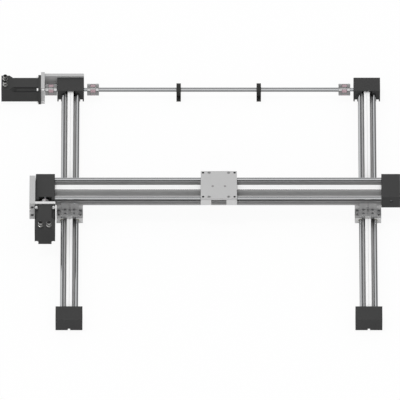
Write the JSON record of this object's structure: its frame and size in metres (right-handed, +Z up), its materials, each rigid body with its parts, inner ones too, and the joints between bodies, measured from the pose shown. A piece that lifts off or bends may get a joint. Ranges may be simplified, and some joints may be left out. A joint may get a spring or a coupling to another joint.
{
  "type": "gantry robot",
  "caption": "Flat two-axis belt gantry: two coupled Y axes, a cross axis on their carriages with its own motor, and a tool carriage with bolt holes.",
  "frame": {"origin": "middle of the bottom of the whole machine's box", "axes": "+X along the cross axis, away from the motors; +Y along the Y axes, towards their drive blocks; +Z up"},
  "size_m": [1.1066, 0.9578, 0.122],
  "materials": {
    "profile_aluminium": "anodised extrusion",
    "plate_aluminium": "anodised plate",
    "housing_aluminium": "cast and anodised",
    "coupling_aluminium": "turned",
    "pulley_aluminium": "milled",
    "block_dark": "dark anodised",
    "support_black": "dark anodised",
    "rail_steel": "ground",
    "bearing_steel": "ground",
    "screw_steel": "plated",
    "motor_black": "powder coated",
    "connector_black": "moulded",
    "belt_white": "moulded polyurethane",
    "liner_plastic": "moulded",
    "spider_red": "moulded"
  },
  "bodies": {
    "base": {"left_profile": "profile_aluminium", "right_profile": "profile_aluminium", "y_rails": "rail_steel", "left_drive_block": "block_dark", "right_drive_block": "block_dark", "left_idler_block": "block_dark", "right_idler_block": "block_dark", "y_belts": "belt_white", "y_idler_axles": "bearing_steel", "y_bearings": "bearing_steel", "shaft_supports": "support_black", "y_motor_wall": "plate_aluminium", "y_motor_plate": "plate_aluminium", "y_motor_flange": "motor_black", "y_motor_body": "motor_black", "y_motor_rear": "motor_black", "y_motor_connectors": "connector_black", "y_motor_screws": "screw_steel"},
    "y_drive": {"y_motor_shaft": "bearing_steel", "y_drive_shafts": "bearing_steel", "connecting_shaft": "rail_steel", "y_drive_pulleys": "pulley_aluminium", "y_coupling_hubs": "coupling_aluminium", "y_coupling_spiders": "spider_red"},
    "y_idler_left": {"left_idler_pulley": "pulley_aluminium"},
    "y_idler_right": {"right_idler_pulley": "pulley_aluminium"},
    "bridge": {"left_carriage_plate": "plate_aluminium", "right_carriage_plate": "plate_aluminium", "y_bearing_housings": "housing_aluminium", "y_liners": "liner_plastic", "y_belt_clamps": "plate_aluminium", "adapter_plates": "plate_aluminium", "profile_tabs": "plate_aluminium", "y_carriage_screws": "screw_steel", "cross_profile": "profile_aluminium", "cross_rails": "rail_steel", "cross_drive_block": "block_dark", "cross_idler_block": "block_dark", "cross_belt": "belt_white", "cross_idler_axle": "bearing_steel", "cross_bearings": "bearing_steel", "x_bracket_bar": "plate_aluminium", "x_motor_plate": "plate_aluminium", "x_motor_flange": "motor_black", "x_motor_body": "motor_black", "x_motor_rear": "motor_black", "x_motor_connectors": "connector_black", "x_motor_screws": "screw_steel"},
    "x_drive": {"x_motor_shaft": "bearing_steel", "x_drive_shaft": "bearing_steel", "x_drive_pulley": "pulley_aluminium", "x_coupling_hubs": "coupling_aluminium", "x_coupling_spider": "spider_red"},
    "x_idler": {"cross_idler_pulley": "pulley_aluminium"},
    "x_carriage": {"x_carriage_plate": "plate_aluminium", "x_bearing_housings": "housing_aluminium", "x_liners": "liner_plastic", "x_belt_clamps": "plate_aluminium", "x_carriage_screws": "screw_steel"}
  },
  "joints": [
    {"name": "y_travel", "type": "slide", "parent": "base", "child": "bridge", "axis": [0, 1, 0], "range_m": [-0.345, 0.345]},
    {"name": "x_travel", "type": "slide", "parent": "bridge", "child": "x_carriage", "axis": [1, 0, 0], "range_m": [-0.401, 0.397]},
    {"name": "y_drive_spin", "type": "hinge", "parent": "base", "child": "y_drive", "pos_m": [0.05153, 0.4393, 0.03], "axis": [1, 0, 0], "continuous": true},
    {"name": "y_idler_left_spin", "type": "hinge", "parent": "base", "child": "y_idler_left", "pos_m": [-0.36062, -0.4495, 0.03], "axis": [1, 0, 0], "continuous": true},
    {"name": "y_idler_right_spin", "type": "hinge", "parent": "base", "child": "y_idler_right", "pos_m": [0.46368, -0.4495, 0.03], "axis": [1, 0, 0], "continuous": true},
    {"name": "x_drive_spin", "type": "hinge", "parent": "bridge", "child": "x_drive", "pos_m": [-0.42823, -0.0051, 0.0788], "axis": [0, 1, 0], "continuous": true},
    {"name": "x_idler_spin", "type": "hinge", "parent": "bridge", "child": "x_idler", "pos_m": [0.52728, -0.0051, 0.0788], "axis": [0, 1, 0], "continuous": true}
  ],
  "couplings": [
    {"joint": "y_drive_spin", "follows": "y_travel", "rad_per_m": -89.76},
    {"joint": "y_idler_left_spin", "follows": "y_travel", "rad_per_m": -89.76},
    {"joint": "y_idler_right_spin", "follows": "y_travel", "rad_per_m": -89.76},
    {"joint": "x_drive_spin", "follows": "x_travel", "rad_per_m": 89.76},
    {"joint": "x_idler_spin", "follows": "x_travel", "rad_per_m": 89.76}
  ]
}
